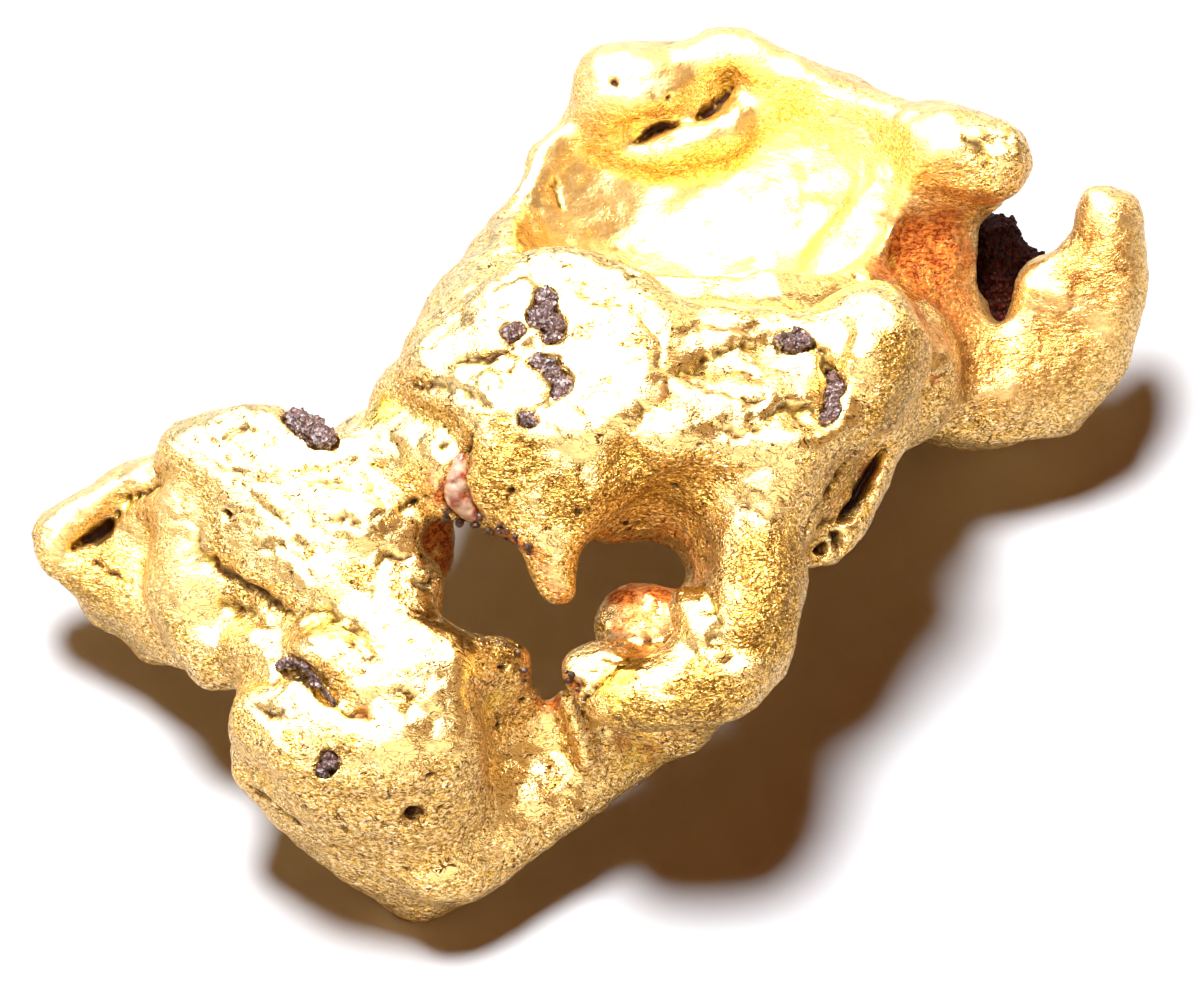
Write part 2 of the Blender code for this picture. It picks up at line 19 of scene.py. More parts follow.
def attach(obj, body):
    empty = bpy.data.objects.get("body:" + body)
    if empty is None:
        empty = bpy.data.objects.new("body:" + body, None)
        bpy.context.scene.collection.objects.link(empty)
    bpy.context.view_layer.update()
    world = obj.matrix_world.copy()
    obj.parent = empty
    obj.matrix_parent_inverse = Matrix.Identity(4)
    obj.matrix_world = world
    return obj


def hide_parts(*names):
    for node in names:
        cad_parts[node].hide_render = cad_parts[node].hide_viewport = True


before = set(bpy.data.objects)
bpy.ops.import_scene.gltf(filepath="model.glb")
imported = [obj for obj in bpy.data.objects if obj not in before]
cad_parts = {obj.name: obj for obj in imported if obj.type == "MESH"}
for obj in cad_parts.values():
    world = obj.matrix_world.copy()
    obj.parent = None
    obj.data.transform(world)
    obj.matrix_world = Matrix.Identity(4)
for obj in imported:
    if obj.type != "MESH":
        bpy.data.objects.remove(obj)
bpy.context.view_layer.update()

MM = 0.001

# How the nugget's face lies in the frame
FACE_LEAN = math.radians(30)  # how far the face's up direction rises above the horizontal
FACE_MIDDLE = Vector((0.25, -3.5, 9.0))
FACE = Matrix.Scale(MM, 4) @ Matrix.Translation(FACE_MIDDLE) @ Matrix.Rotation(FACE_LEAN, 4, "X")
UP = np.array((0.0, math.sin(FACE_LEAN), math.cos(FACE_LEAN)))
OUTSIDE = 20.0  # in front of everything, where the search for the skin starts

# The fineness of the skins
GOLD_VOXEL = 0.1
GOLD_TRIANGLES = 195000
STONE_VOXEL = 0.045
JOINED = 1e-7  # metres within which the frame's loose corners are one

TINY = 1e-9  # keeps a division from being one by zero


def baked(obj):
    """Applies the object's modifiers to its mesh."""
    bpy.context.view_layer.update()
    graph = bpy.context.evaluated_depsgraph_get()
    mesh = bpy.data.meshes.new_from_object(obj.evaluated_get(graph))
    obj.modifiers.clear()
    obj.data = mesh
    return obj


def new_object(name, bm):
    """A new object of the scene, made of the bmesh."""
    mesh = bpy.data.meshes.new(name)
    bm.to_mesh(mesh)
    bm.free()
    obj = bpy.data.objects.new(name, mesh)
    bpy.context.scene.collection.objects.link(obj)
    return obj


def copy_of(node, name):
    """A copy of one of the frame's solids, joined up and brought to the face's frame."""
    bm = bmesh.new()
    bm.from_mesh(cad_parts[node].data)
    bmesh.ops.remove_doubles(bm, verts=bm.verts[:], dist=JOINED)
    bm.transform(FACE.inverted())
    return new_object(name, bm)


def softened(obj, levels, voxel, smoothing):
    """Rounds the facets of a coarse solid off and gives it an even skin of small quads."""
    rounding = obj.modifiers.new("round", "SUBSURF")
    rounding.levels = levels
    rounding.render_levels = levels
    remesh = obj.modifiers.new("fine", "REMESH")
    remesh.mode = "VOXEL"
    remesh.voxel_size = voxel
    smooth = obj.modifiers.new("smooth", "SMOOTH")
    smooth.factor = 0.5
    smooth.iterations = smoothing
    return baked(obj)


def thinned(obj, triangles):
    """Leaves about this many triangles of the object's quads."""
    ratio = triangles / (2 * len(obj.data.polygons))
    if ratio < 1:
        obj.modifiers.new("thin", "DECIMATE").ratio = ratio
        baked(obj)
    return obj


def laid_down(obj, name, node, material):
    """Takes a finished piece to its place in the frame, where it stands for the node."""
    obj.data.transform(FACE)
    obj.data.shade_smooth()
    obj.data.materials.clear()
    obj.data.materials.append(material)
    obj.name = name
    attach(obj, "root")
    if node:
        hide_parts(node)
    return obj


# --- Working a skin ---


def grain(points, width, octaves=1, shift=0.0):
    """Irregular values from about -1 to 1, smooth over this width."""
    places = (points / width + shift).tolist()
    return np.array([noise.fractal(place, 1.0, 2.0, octaves) for place in places])


SEED_SPREAD = 7.3  # takes the seeds of neighbouring cells to different values


def cells(points, size):
    """How far each point is from its cell's border, and a value that the whole cell shares."""
    borders = np.empty(len(points))
    values = np.empty(len(points))
    for index, place in enumerate((points / size).tolist()):
        distances, seeds = noise.voronoi(place)
        borders[index] = distances[1] - distances[0]
        values[index] = noise.cell(seeds[0] * SEED_SPREAD)
    return borders * size, values


def ease(values, low, high):
    """0 below low and 1 above high, with a smooth step between them."""
    part = ((values - low) / (high - low)).clip(0, 1)
    return part * part * (3 - 2 * part)


def fade(away, size, inner, outer):
    """1 within this many sizes and 0 past that many, with a smooth step between them."""
    return 1 - ease(away, inner * size, outer * size)


class Skin:
    """A mesh's points and normals as arrays, so that the whole of it can be worked at once."""

    def __init__(self, obj):
        self.obj = obj
        self.points = self.read(obj.data.vertices, "co", 3, float)
        self.edges = self.read(obj.data.edges, "vertices", 2, np.int32)
        self.marks = {}
        self.moved()

    @staticmethod
    def read(items, name, width, kind):
        """One property of all the mesh's vertices or edges, a row for each."""
        values = np.empty(len(items) * width, kind)
        items.foreach_get(name, values)
        return values.reshape(-1, width)

    def moved(self):
        """Writes the points back to the mesh and takes its new normals."""
        self.obj.data.vertices.foreach_set("co", self.points.reshape(-1))
        self.obj.data.update()
        self.normals = self.read(self.obj.data.vertices, "normal", 3, float)
        self.up = self.normals @ UP

    def raise_by(self, heights, normals=None):
        """Moves the points out along their normals, or along these ones."""
        ways = self.normals if normals is None else normals
        self.points = self.points + ways * np.asarray(heights)[:, None]
        self.moved()

    def calm_normals(self, times):
        """The normals without the skin's small relief, along which a deep cut stays open."""
        calm = np.stack([self.shared(column, times) for column in self.normals.T], axis=1)
        return calm / np.linalg.norm(calm, axis=1)[:, None].clip(TINY)

    def shared(self, values, times):
        """Values averaged with those of the neighbouring points, this many times."""
        one, two = self.edges.T
        count = np.bincount(self.edges.reshape(-1), minlength=len(values)).clip(1)
        for _ in range(times):
            total = np.bincount(one, values[two], len(values))
            total += np.bincount(two, values[one], len(values))
            values = 0.5 * values + 0.5 * total / count
        return values

    def hollowness(self, times):
        """How deep each point lies in a hollow, in millimetres, or minus how high it stands."""
        calm = np.stack([self.shared(column, times) for column in self.points.T], axis=1)
        return ((calm - self.points) * self.normals).sum(axis=1)

    def at(self, a, b):
        """The point of the skin that the face shows at (a, b). In the hole it is on the rim."""
        hit, point, _, _ = self.obj.ray_cast(Vector((a, b, OUTSIDE)), Vector((0, 0, -1)))
        if not hit:
            _, point, _, _ = self.obj.closest_point_on_mesh(Vector((a, b, 0)))
        return np.array(point)

    def away_from(self, a, b, points):
        """How far each of these points is from the skin's point at (a, b)."""
        return np.linalg.norm(points - self.at(a, b), axis=1)

    def away_from_path(self, path, points, reach):
        """How far each of these points is from a path on the skin, and how far along it that is.

        A point that is out of reach of the whole path counts as infinitely far away.
        """
        nodes = [self.at(*path[0])]
        for start, end in zip(path, path[1:]):
            steps = math.ceil(math.dist(start, end) / PATH_STEP)
            nodes += [self.at(*place) for place in np.linspace(start, end, steps + 1)[1:]]
        low = np.min(nodes, axis=0) - reach
        high = np.max(nodes, axis=0) + reach
        near = np.flatnonzero(((points > low) & (points < high)).all(axis=1))
        away = np.full(len(points), np.inf)
        along = np.zeros(len(points))
        for index, (start, end) in enumerate(zip(nodes, nodes[1:])):
            run = end - start
            from_start = points[near] - start
            part = (from_start @ run / max(run @ run, TINY)).clip(0, 1)
            distance = np.linalg.norm(from_start - part[:, None] * run, axis=1)
            closer = distance < away[near]
            away[near[closer]] = distance[closer]
            along[near[closer]] = (index + part[closer]) / (len(nodes) - 1)
        return away, along

    def mark(self, name, amounts):
        """Raises one of the marks that the material reads to these amounts, where it is lower."""
        self.marks[name] = np.maximum(self.marks.get(name, 0.0), amounts)

    def write_marks(self):
        """Stores the marks on the mesh, as attributes from 0 to 1."""
        for name, amounts in self.marks.items():
            layer = self.obj.data.attributes.new(name, "FLOAT", "POINT")
            layer.data.foreach_set("value", np.clip(amounts, 0, 1).astype(np.float32))


# --- The gold ---

GOLD_SMOOTHING = 6  # rounds

# The swelling of the whole skin: height, width, noise shift
SWELLS = ((0.08, 1.3, 0.0), (0.03, 0.5, 9.0))
STEADY = 1.0  # the swelling fades out this close to the floor, so the nugget rests on its flats

# How marks and cracks wander off their places: how far, how wide, a noise shift per direction
WANDER = (0.16, 0.45, (21.0, 47.0, 83.0))

# What the gravel reaches: how far a face looks up where it starts to, and where it fully does
OPEN_SLOPE = (0.45, 0.85)
# It reaches less of a hollow: rounds of smoothing that show it, depth from and to, share lost
SHELTER = (60, 0.02, 0.2, 0.8)

# The wrinkles of the open skin: width and height of the flakes, depth of the creases, noise shift
WRINKLES = (
    (1.3, 0.022, 0.05, 3.0),
    (0.7, 0.018, 0.04, 15.0),
    (0.4, 0.010, 0.02, 31.0),
)
FLAKE_STRETCH = (0.7, 1.2, 1.0)  # a, b, c: below 1 the flakes are longer that way
FLAKE_STEEPNESS = 5.0  # how sharply the flakes rise from their creases
CREASE_SHARPNESS = 0.07  # how near to its middle the noise makes a crease
# The creases' dark is painted shade.
CREASE_MARK = 0.6  # how dark the creases are
WRINKLED_PATCHES = (1.8, 4.0, -0.35, 0.35)  # width, noise shift, and the noise from and to
LEAST_WRINKLED = 0.25  # what is left of the wrinkles between the patches
UNWORN_RISE = (-0.7, -0.3)  # how low between the flakes the gravel doesn't reach, and does
GRIT = (0.03, 0.3, 61.0)  # height, width and noise shift of the dents where the skin isn't worn
SOFT_LOSS = 0.6  # the share of the relief that the softly rubbed places have lost
ROUGH_GAIN = 0.8  # what the rough places have on top of their grit
ROUGH_UNWORN = 0.9  # the share of the polish that they don't have

PATH_STEP = 0.25  # how closely the paths below follow the skin between their points

# Cracks and crevices: width, depth, how dark their painted shade is, then a path of points (a, b)
CRACKS = (
    # the crown
    (0.12, 0.22, 0.9, (-4.2, 3.7), (-3.9, 3.76), (-2.95, 3.8), (-2.45, 4.06), (-2.2, 4.6)),
    (0.09, 0.18, 0.8, (-2.15, 3.96), (-2.35, 3.46), (-2.45, 3.06)),
    (0.08, 0.14, 0.6, (-1.05, 2.96), (-1.3, 2.66), (-1.75, 2.3)),
    (0.10, 0.20, 0.8, (1.75, 3.36), (2.55, 3.46), (3.05, 3.76), (3.65, 4.0), (4.3, 4.12)),
    (0.10, 0.22, 0.7, (1.95, 3.36), (1.9, 2.86), (1.5, 2.3)),
    (0.12, 0.10, 0.2, (1.75, 4.2), (2.55, 4.6), (3.65, 4.7), (4.75, 4.36)),
    (
        0.12, 0.25, 0.8,
        (5.5, 4.1), (5.95, 3.95), (6.2, 3.55), (6.3, 3.25), (6.45, 2.95), (6.1, 1.95),
    ),
    (0.14, 0.18, 0.5, (4.5, 2.2), (5.1, 2.45), (6.0, 2.3)),
    (0.13, 0.20, 0.6, (-5.3, 3.2), (-4.45, 3.1), (-3.55, 2.86), (-2.95, 2.5)),
    (0.12, 0.22, 0.8, (-3.4, 2.1), (-3.55, 1.46), (-3.75, 1.0)),
    (0.10, 0.16, 0.5, (-1.6, 4.3), (-2.1, 4.1), (-2.3, 3.8)),
    (0.10, 0.12, 0.3, (0.9, 5.4), (1.2, 4.7), (1.7, 4.2), (1.6, 3.4)),
    (0.10, 0.14, 0.4, (3.0, 1.9), (3.7, 1.7), (4.4, 1.9)),
    (0.10, 0.12, 0.3, (-0.9, 5.9), (-0.2, 5.3), (0.6, 5.2)),
    (0.11, 0.14, 0.4, (2.6, 2.9), (3.3, 3.0), (4.0, 2.6), (4.6, 2.7)),
    # the right flank and the flap
    (0.20, 0.55, 1.0, (7.75, 1.26), (7.35, 0.7), (7.0, -0.1), (6.5, -0.6)),
    (0.12, 0.18, 0.5, (6.9, 1.3), (6.35, 0.5), (5.9, -0.24), (5.5, -1.1)),
    (0.14, 0.25, 0.8, (6.3, -0.6), (6.05, -0.65), (5.9, -0.8)),
    # the left body
    (0.12, 0.16, 0.5, (-10.5, 1.6), (-10.1, 1.7), (-9.5, 1.93), (-9.15, 1.8)),
    (0.10, 0.12, 0.4, (-10.5, 0.98), (-10.0, 0.7), (-9.57, 0.59)),
    (
        0.22, 0.25, 0.6,
        (-10.8, -1.5), (-10.1, -2.1), (-9.57, -2.43), (-8.86, -2.82), (-8.22, -3.14),
    ),
    (0.14, 0.18, 0.6, (-8.22, -3.14), (-7.35, -3.14), (-6.6, -3.5), (-6.0, -3.8)),
    (0.11, 0.15, 0.5, (-7.43, -0.8), (-7.0, -0.65), (-6.64, -0.68), (-6.16, -0.95)),
    (0.11, 0.20, 0.8, (-6.08, -1.87), (-5.6, -1.55), (-5.1, -1.6)),
    (0.12, 0.20, 0.8, (-5.1, -2.2), (-4.7, -2.35), (-4.35, -2.1)),
    (0.12, 0.18, 0.9, (-5.4, -0.3), (-5.0, -0.05), (-4.6, 0.05)),
    (0.10, 0.12, 0.4, (-9.2, -0.2), (-8.6, -0.5), (-8.2, -1.2), (-7.6, -1.6)),
    (0.10, 0.12, 0.4, (-8.0, 0.5), (-7.4, 0.3), (-6.9, 0.4), (-6.3, 0.0)),
    (0.09, 0.10, 0.4, (-6.9, -2.1), (-6.5, -2.5), (-6.0, -2.6)),
    (0.14, 0.14, 0.5, (-10.3, -2.8), (-9.7, -3.0), (-9.1, -3.4)),
    # the left tip
    (0.14, 0.50, 1.0, (-14.3, -1.3), (-13.9, -1.1), (-13.5, -0.85), (-13.3, -0.6)),
    (0.09, 0.30, 0.9, (-13.3, -0.65), (-12.98, -0.13), (-12.3, 0.2), (-11.9, 0.6)),
    (0.09, 0.30, 0.9, (-14.1, -1.4), (-13.5, -1.87), (-13.0, -2.27)),
    # the front lobe
    (0.12, 0.22, 0.7, (-7.0, -5.6), (-6.56, -5.83), (-6.08, -5.93)),
    (0.10, 0.12, 0.4, (-9.4, -5.6), (-8.9, -5.9), (-8.2, -5.7)),
    (0.10, 0.12, 0.4, (-5.8, -4.9), (-5.2, -5.3), (-5.1, -6.0)),
    (0.12, 0.15, 0.5, (-9.5, -7.8), (-8.8, -8.3), (-8.1, -8.9)),
    # the scoop and the hook
    (0.12, 0.25, 0.8, (-1.5, -5.0), (-1.0, -5.3), (-0.5, -5.0)),
    (0.11, 0.22, 0.8, (0.0, -4.9), (-0.5, -5.4), (-0.3, -6.0)),
    (0.12, 0.20, 0.5, (0.2, -4.0), (0.9, -3.85), (1.6, -3.8)),
    (0.11, 0.22, 0.7, (2.95, -2.6), (3.1, -3.3), (2.9, -4.2)),
    (0.10, 0.15, 0.6, (3.3, -4.2), (3.5, -4.35)),
    # the dish and the fork
    (0.12, 0.38, 1.0, (0.95, 9.76), (1.37, 10.04), (2.12, 10.32)),
    (0.12, 0.38, 1.0, (2.7, 10.42), (3.14, 10.78), (3.6, 11.3)),
    (0.12, 0.15, 0.5, (-1.2, 8.6), (-1.14, 8.3), (-0.9, 8.0)),
    (0.14, 0.20, 0.5, (9.9, 9.9), (10.4, 9.6), (10.5, 9.1)),
    (0.16, 0.08, 0.0, (11.8, 5.2), (12.1, 4.6), (12.0, 4.0)),
    (0.16, 0.08, 0.0, (13.2, 6.6), (13.0, 5.6), (12.7, 5.0)),
)
CALM_ROUNDS = 6  # smoothing of the normals that the cracks are cut along
DEEP = 0.35  # cracks deeper than this wind less, so that they stay open
DEEP_WINDING = 0.3
CRACK_REACH = 4.0  # widths
CRACK_TAPER = (0.08, 0.84)  # the part of a half wave that a crack's width follows: start, length
# The marks in a crack, which paint shade in it: how strong, and from and to which share of its
# depth
CRACK_CREASE = (0.7, 0.2, 0.9)
CRACK_DARK = (0.3, 0.8)

# Pits: a, b, radius, depth
PITS = (
    (-10.12, -0.44, 0.20, 0.25), (-9.57, -2.40, 0.10, 0.20), (-5.02, -8.63, 0.30, 0.45),
    (-6.80, -9.02, 0.14, 0.25), (-7.14, -9.45, 0.12, 0.15), (-4.54, -7.47, 0.13, 0.20),
    (-4.50, -7.95, 0.13, 0.20), (-4.30, -8.34, 0.16, 0.20), (-2.80, -6.12, 0.12, 0.15),
    (-2.08, -5.50, 0.15, 0.25), (-2.60, -4.60, 0.13, 0.20), (6.50, -1.15, 0.24, 0.35),
    (6.00, -1.40, 0.18, 0.30), (3.30, -4.36, 0.10, 0.15), (1.10, -0.75, 0.16, 0.20),
    (2.80, -1.60, 0.12, 0.15), (2.00, 0.30, 0.12, 0.15), (1.50, 0.70, 0.12, 0.15),
    (0.40, 11.34, 0.15, 0.15), (1.90, 10.92, 0.15, 0.15), (7.02, 6.10, 0.20, 0.30),
    (-3.20, 2.60, 0.09, 0.15), (-3.50, 2.40, 0.08, 0.15), (-3.05, 2.90, 0.09, 0.15),
    (-3.85, 2.00, 0.10, 0.15), (-4.20, 1.40, 0.09, 0.15), (0.60, -3.95, 0.10, 0.20),
    (-2.30, 0.20, 0.10, 0.12), (-0.60, -0.35, 0.10, 0.12), (2.70, 1.40, 0.12, 0.12),
    (-8.10, -10.00, 0.10, 0.12), (-5.20, -10.10, 0.10, 0.12), (-6.40, -9.90, 0.08, 0.10),
)
# The pits' dark is painted shade at their bottoms, and stands as well for the dark specks on the
# gold.
PIT_DARK = (0.9, 0.3, 0.9)  # as CRACK_CREASE

# Iron stain, from orange to red-brown: a, b, radius, strength
STAINS = (
    (7.6, 6.3, 0.7, 0.9), (8.4, 7.2, 0.9, 1.0), (9.4, 7.5, 0.8, 0.9), (8.9, 6.2, 1.0, 1.0),
    (9.6, 5.6, 0.7, 0.6), (8.7, 5.0, 0.7, 0.8), (9.17, 3.25, 0.25, 0.8), (10.6, 8.1, 0.6, 0.7),
    (1.2, -2.9, 1.0, 0.9), (1.9, -2.5, 0.6, 0.9), (0.6, -3.4, 0.5, 0.9), (-1.1, -5.4, 0.4, 1.0),
    (-0.8, -5.1, 0.35, 0.8), (-4.5, 0.45, 0.35, 0.8), (1.2, -6.9, 0.6, 0.5), (0.7, -6.6, 0.4, 0.5),
    (1.6, 2.9, 0.25, 0.7), (1.45, 2.25, 0.22, 0.9), (3.6, 4.6, 0.5, 0.3), (1.4, 4.8, 0.25, 0.5),
    (-6.3, -5.85, 0.3, 0.6), (7.3, 0.8, 0.35, 0.7), (0.2, -4.2, 0.25, 0.5), (2.9, -1.9, 0.3, 0.5),
    (11.4, 6.1, 0.4, 0.6), (10.6, 4.6, 0.3, 0.4), (-4.4, -1.0, 1.0, 1.0), (-4.2, -1.6, 0.8, 1.0),
    (0.6, -2.6, 0.7, 1.0), (1.6, -2.3, 0.7, 1.0), (9.2, 6.9, 1.1, 1.0), (10.0, 6.6, 0.6, 0.8),
    (8.1, 6.5, 0.8, 1.0), (9.3, 4.4, 0.6, 0.6), (-4.3, 0.1, 0.45, 1.0), (-1.3, -5.6, 0.35, 1.0),
    (13.8, 7.6, 1.0, 0.2), (13.5, 6.0, 1.2, 0.3), (12.6, 4.8, 1.3, 0.3), (11.0, 3.4, 1.4, 0.3),
    (9.4, 5.4, 1.3, 0.7), (9.6, 6.6, 0.9, 0.8), (8.3, 7.2, 0.7, 0.8),
)
STAIN_FADE = (0.45, 1.25)  # the radii between which a stain fades out

# Where the gold is painted the hollows' deeper yellow, a glow of bounced light: a, b, radius
YELLOWED = (
    (0.4, -4.9, 0.7), (1.0, -4.3, 0.5), (1.1, -6.9, 0.7), (-5.8, 2.4, 0.5), (-3.0, -5.6, 0.6),
)

# Where the gravel could not reach, the grain is coarsest and its painted shade widest: a, b,
# radius
ROUGH = (
    (-2.4, 0.9, 1.2), (-0.9, 0.0, 1.0), (0.6, 0.6, 1.0), (2.0, 0.3, 1.2), (4.6, -1.8, 1.5),
    (4.4, -3.4, 1.3), (2.8, -5.3, 1.2), (1.0, -5.9, 1.0), (8.2, 3.8, 0.9), (7.9, 2.4, 1.0),
    (9.0, 6.0, 1.4), (10.0, 4.2, 1.4), (13.4, 6.4, 1.4), (12.4, 4.0, 1.4), (-13.5, -2.0, 1.2),
    (6.4, 0.6, 1.0), (-2.6, -3.9, 0.9),
)
PATCH_FADE = (0.5, 1.3)  # radii, for the yellow and the rough places

# Where the grain is rubbed away but not polished: the middle (a, b, c), radius, amount
SOFT = (
    (3.0, 8.8, -6.5, 5.6, 0.8),
    (8.0, 9.0, -7.0, 3.0, 0.7),
    (12.2, 5.6, -7.0, 3.6, 0.55),
    (-13.0, -0.8, -3.0, 3.2, 0.5),
)
SOFT_FADE = (0.7, 1.1)  # radii
SOFT_SLOPE = (-0.2, 0.5)  # as OPEN_SLOPE

# The rims of the hole, where the stain gathers: width, strength, then a path (a, b)
STAINED_RIMS = (
    (0.16, 0.6, (-4.0, -2.4), (-3.75, -3.2)),
    (0.20, 0.7, (-1.8, -4.2), (-1.7, -4.9), (-1.5, -5.3)),
    (0.16, 0.6, (-0.3, -1.9), (0.2, -1.4), (0.9, -1.0), (1.5, -1.15), (2.0, -1.6), (2.2, -2.2)),
    (0.20, 0.9, (-4.2, -0.6), (-3.4, -0.8), (-2.6, -1.0), (-1.9, -1.4)),
    (0.20, 0.6, (-1.7, -1.4), (-1.4, -2.3), (-1.0, -2.8)),
    (0.18, 0.8, (-0.95, -4.3), (-1.1, -4.7), (-0.95, -5.0)),
)
RIM_FADE = (0.4, 1.6)  # widths
RIM_REACH = 3.0  # widths

# Hollows that the material reads: mark, rounds of smoothing that show them, depth from and to.
# The deep hollows are painted a deeper yellow, as the glow of bounced light, and the small ones,
# the creases, are painted dark, as shade.
HOLLOWS = (("hollow", 30, 0.01, 0.14), ("crease", 4, 0.005, 0.03))


def mark_places(skin, wander):
    """Marks where the gold is yellower, rough, stained or softly rubbed."""
    for name, places in (("hollow", YELLOWED), ("rough", ROUGH)):
        for a, b, radius in places:
            skin.mark(name, fade(skin.away_from(a, b, wander), radius, *PATCH_FADE))
    for a, b, radius, strength in STAINS:
        skin.mark("stain", strength * fade(skin.away_from(a, b, wander), radius, *STAIN_FADE))
    for width, strength, *path in STAINED_RIMS:
        away, _ = skin.away_from_path(path, wander, RIM_REACH * width)
        skin.mark("stain", strength * fade(away, width, *RIM_FADE))
    for *middle, radius, amount in SOFT:
        away = np.linalg.norm(skin.points - middle, axis=1)
        rubbed = ease(skin.up, *SOFT_SLOPE)
        skin.mark("soft", amount * fade(away, radius, *SOFT_FADE) * rubbed)


def wrinkle(skin, wander):
    """Hammers the open skin into flakes with winding creases between them, and grits the rest."""
    rounds, low, high, share = SHELTER
    sheltered = ease(skin.hollowness(rounds), low, high)
    open_skin = ease(skin.up, *OPEN_SLOPE) * (1 - share * sheltered)
    width, shift, low, high = WRINKLED_PATCHES
    patchy = ease(grain(skin.points, width, shift=shift), low, high)
    patchy = LEAST_WRINKLED + (1 - LEAST_WRINKLED) * patchy
    soft, rough = skin.marks["soft"], skin.marks["rough"]
    shown = open_skin * patchy * (1 - SOFT_LOSS * soft)
    worn = open_skin
    across = wander * np.array(FLAKE_STRETCH)
    for width, lift, depth, shift in WRINKLES:
        rise = grain(across, width, shift=shift)
        creases = np.exp(-((rise / CREASE_SHARPNESS) ** 2))
        skin.raise_by(shown * (lift * np.tanh(FLAKE_STEEPNESS * rise) - depth * creases))
        skin.mark("crease", CREASE_MARK * creases * shown)
        worn = worn * ease(rise, *UNWORN_RISE)
    worn = worn * (1 - ROUGH_UNWORN * rough)
    # The worn plates are painted pale, partly for their burnish and partly as a highlight.
    skin.mark("worn", worn)
    height, width, shift = GRIT
    height = height * (1 - worn) * (1 - SOFT_LOSS * soft) * (1 + ROUGH_GAIN * rough)
    skin.raise_by(height * grain(skin.points, width, 2, shift))


def crack(skin, wander):
    """Cuts the cracks in along their paths. Each narrows toward its ends."""
    inward = -skin.calm_normals(CALM_ROUNDS)
    depths = np.zeros(len(wander))
    wave_start, wave_length = CRACK_TAPER
    crease, crease_low, crease_high = CRACK_CREASE
    for width, depth, dark, *path in CRACKS:
        winding = DEEP_WINDING if depth > DEEP else 1.0
        points = skin.points + winding * (wander - skin.points)
        away, along = skin.away_from_path(path, points, CRACK_REACH * width)
        taper = np.sqrt(np.sin(np.pi * (wave_start + wave_length * along)).clip(0, 1))
        profile = np.exp(-((away / (width * taper)) ** 2)) * taper
        depths = np.maximum(depths, depth * profile)
        skin.mark("crease", crease * ease(profile, crease_low, crease_high))
        skin.mark("dark", dark * ease(profile, *CRACK_DARK))
    skin.raise_by(depths, inward)


def pit(skin, wander):
    """Sinks the pits in, steep at the sides and flat at the bottom."""
    dark, low, high = PIT_DARK
    for a, b, radius, depth in PITS:
        profile = np.exp(-((skin.away_from(a, b, wander) / radius) ** 4))
        skin.raise_by(-depth * profile)
        skin.mark("dark", dark * ease(profile, low, high))


def native_gold_skin():
    """The nugget's gold, from the frame's solid to the finished skin."""
    gold = softened(copy_of("gold_nugget", "gold"), 1, GOLD_VOXEL, GOLD_SMOOTHING)
    skin = Skin(gold)
    above_floor = skin.points @ UP + FACE_MIDDLE.z
    swell = sum(height * grain(skin.points, width, 2, shift) for height, width, shift in SWELLS)
    skin.raise_by(swell * ease(above_floor, 0.0, STEADY))
    reach, width, shifts = WANDER
    drift = [grain(skin.points, width, 2, shift) for shift in shifts]
    wander = skin.points + reach * np.stack(drift, axis=1)
    mark_places(skin, wander)
    wrinkle(skin, wander)
    crack(skin, wander)
    pit(skin, wander)
    for name, rounds, low, high in HOLLOWS:
        skin.mark(name, ease(skin.hollowness(rounds), low, high))
    skin.write_marks()
    return thinned(gold, GOLD_TRIANGLES)


# --- The materials ---


def linear(colour):
    """An sRGB hex colour as linear red, green, blue and alpha, by the sRGB curve."""
    parts = [int(colour[start : start + 2], 16) / 255 for start in (1, 3, 5)]
    return (
        *(part / 12.92 if part <= 0.04045 else ((part + 0.055) / 1.055) ** 2.4 for part in parts),
        1.0,
    )


def feed(tree, node, inputs):
    """Gives each of the node's inputs a value, or the output that it is linked from."""
    for name, value in inputs.items():
        if isinstance(value, bpy.types.NodeSocket):
            tree.links.new(value, node.inputs[name])
        else:
            node.inputs[name].default_value = value
    return node


def add(tree, kind, inputs, **settings):
    """Adds a node with these settings and inputs."""
    node = tree.nodes.new(kind)
    for name, value in settings.items():
        setattr(node, name, value)
    return feed(tree, node, inputs)


# The sockets of a colour Mix node
FACTOR, UNDER, OVER, MIXED = 0, 6, 7, 2


def new_material(name):
    """A material and its node tree, shader and object coordinates."""
    material = bpy.data.materials.new(name)
    material.use_nodes = True
    tree = material.node_tree
    place = add(tree, "ShaderNodeTexCoord", {}).outputs["Object"]
    return material, tree, tree.nodes["Principled BSDF"], place


def weighted(tree, amount, by, low=0.0, high=1.0, at_low=0.0, at_high=1.0):
    """The amount, times a weight that goes from at_low to at_high as by goes from low to high."""
    weight = add(tree, "ShaderNodeMapRange", {
        "Value": by, "From Min": low, "From Max": high, "To Min": at_low, "To Max": at_high,
    }).outputs["Result"]
    return add(tree, "ShaderNodeMath", {
        0: amount, 1: weight,
    }, operation="MULTIPLY").outputs["Value"]


def lines_across(tree, pattern, near, far):
    """Thin winding lines: 1 where the pattern crosses its middle, 0 where it is far from it."""
    off = add(tree, "ShaderNodeMath", {0: pattern, 1: 0.5}, operation="SUBTRACT").outputs["Value"]
    off = add(tree, "ShaderNodeMath", {0: off}, operation="ABSOLUTE").outputs["Value"]
    return weighted(tree, 1.0, off, near, far, 1.0, 0.0)


def layered(tree, colour, layers):
    """The colour with the layers on it in turn, each an amount and its colour."""
    for amount, over in layers:
        colour = add(tree, "ShaderNodeMix", {
            FACTOR: amount, UNDER: colour, OVER: over,
        }, data_type="RGBA").outputs[MIXED]
    return colour


